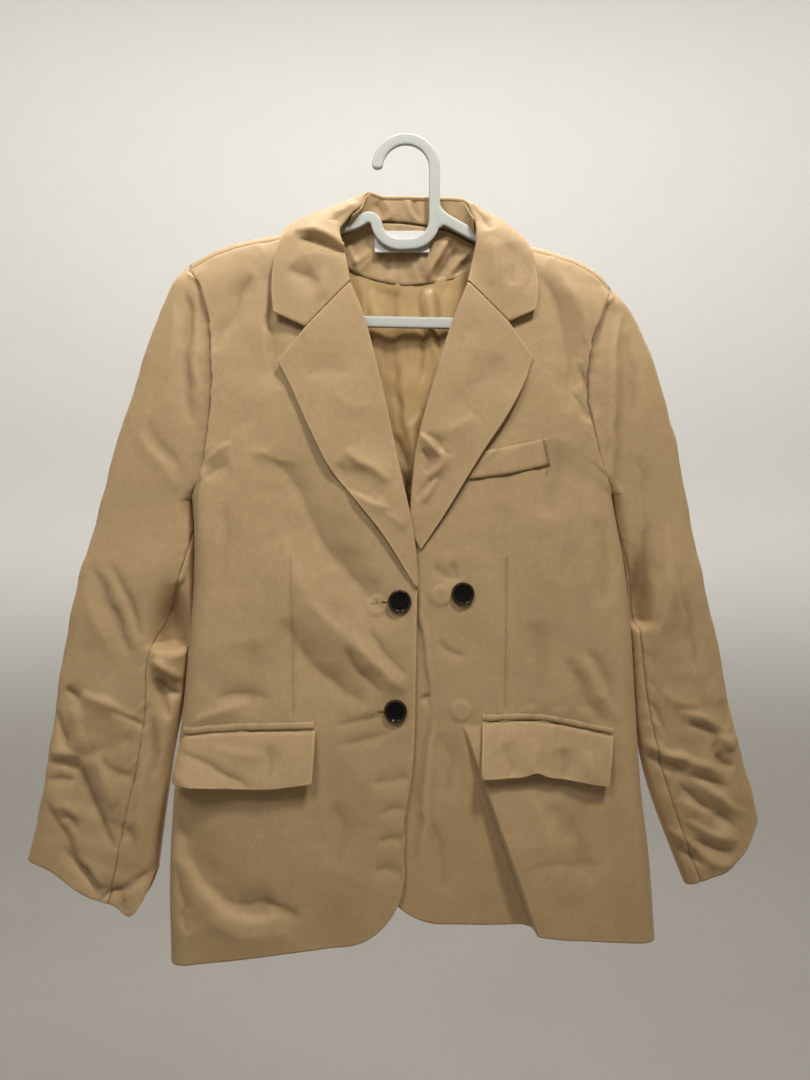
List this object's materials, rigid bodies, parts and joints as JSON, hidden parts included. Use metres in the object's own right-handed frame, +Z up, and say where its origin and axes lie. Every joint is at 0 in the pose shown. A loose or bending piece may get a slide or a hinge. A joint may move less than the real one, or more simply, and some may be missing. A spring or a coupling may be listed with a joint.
{
  "type": "double breasted blazer on a clothes hanger",
  "caption": "Long-sleeved tailored jacket with notched lapels, flap pockets and a chest welt, hung flat on a moulded hanger with an open hook.",
  "frame": {"origin": "point of the hook's inner top that bears on what holds it", "axes": "+Z up, the wearer's front faces -Y, the wearer's left is +X"},
  "size_m": [0.7163, 0.0723, 0.807],
  "materials": {
    "shell": "smooth tan suiting with a faint sheen",
    "lining": "golden tan satin lining",
    "label": "bare woven label",
    "button": "polished black",
    "hanger": "pale grey-white moulded, satin"
  },
  "bodies": {
    "root": {"hanger": "hanger", "front_right": "shell", "front_left": "shell", "back_right": "shell", "back_left": "shell", "sleeve_top_right": "shell", "sleeve_under_right": "shell", "sleeve_top_left": "shell", "sleeve_under_left": "shell", "lapel_right": "shell", "lapel_left": "shell", "collar_fall": "shell", "collar_stand": "shell", "neck_facing": "shell", "lining_back": "lining", "neck_label": "label", "jet_right": "shell", "jet_left": "shell", "flap_right": "shell", "flap_left": "shell", "chest_welt": "shell", "button_upper_right": "button", "button_lower_right": "button", "button_upper_left": "button"}
  },
  "joints": []
}
